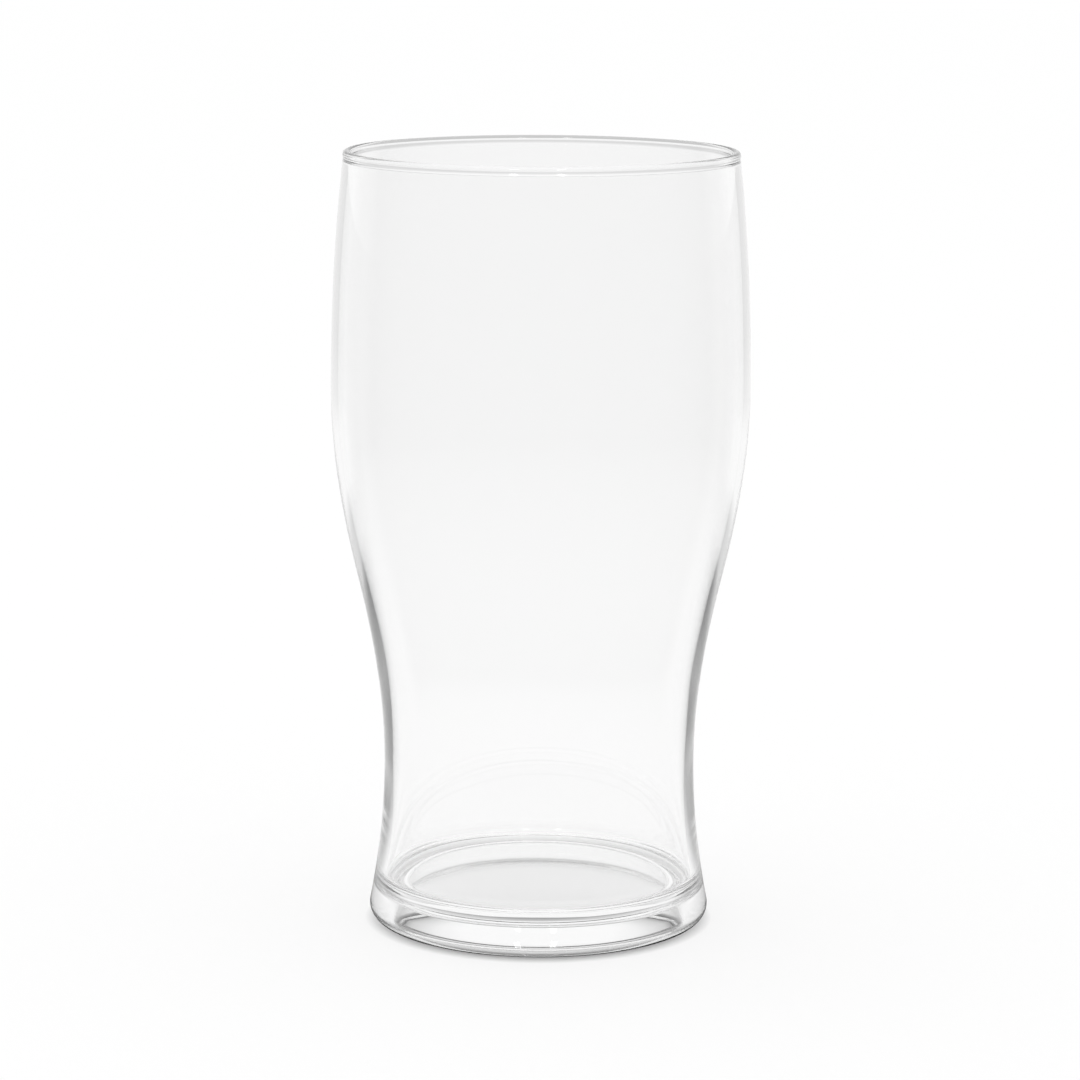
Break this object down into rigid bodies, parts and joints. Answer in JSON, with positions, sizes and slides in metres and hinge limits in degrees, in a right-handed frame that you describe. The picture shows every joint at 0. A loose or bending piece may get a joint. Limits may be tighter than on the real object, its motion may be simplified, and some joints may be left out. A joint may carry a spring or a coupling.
{
  "type": "pint glass",
  "caption": "Clear plastic tulip pint tumbler with a rolled lip, a full belly, a narrow waist and a thick flared foot, for serving beer.",
  "frame": {"origin": "on the axis, in the plane of the standing ring that rests on the table", "axes": "+Z along the axis, up from the foot to the rim"},
  "size_m": [0.0832, 0.0832, 0.155],
  "materials": {
    "clear_plastic": "water-clear gloss"
  },
  "bodies": {
    "root": {"tumbler": "clear_plastic"}
  },
  "joints": []
}
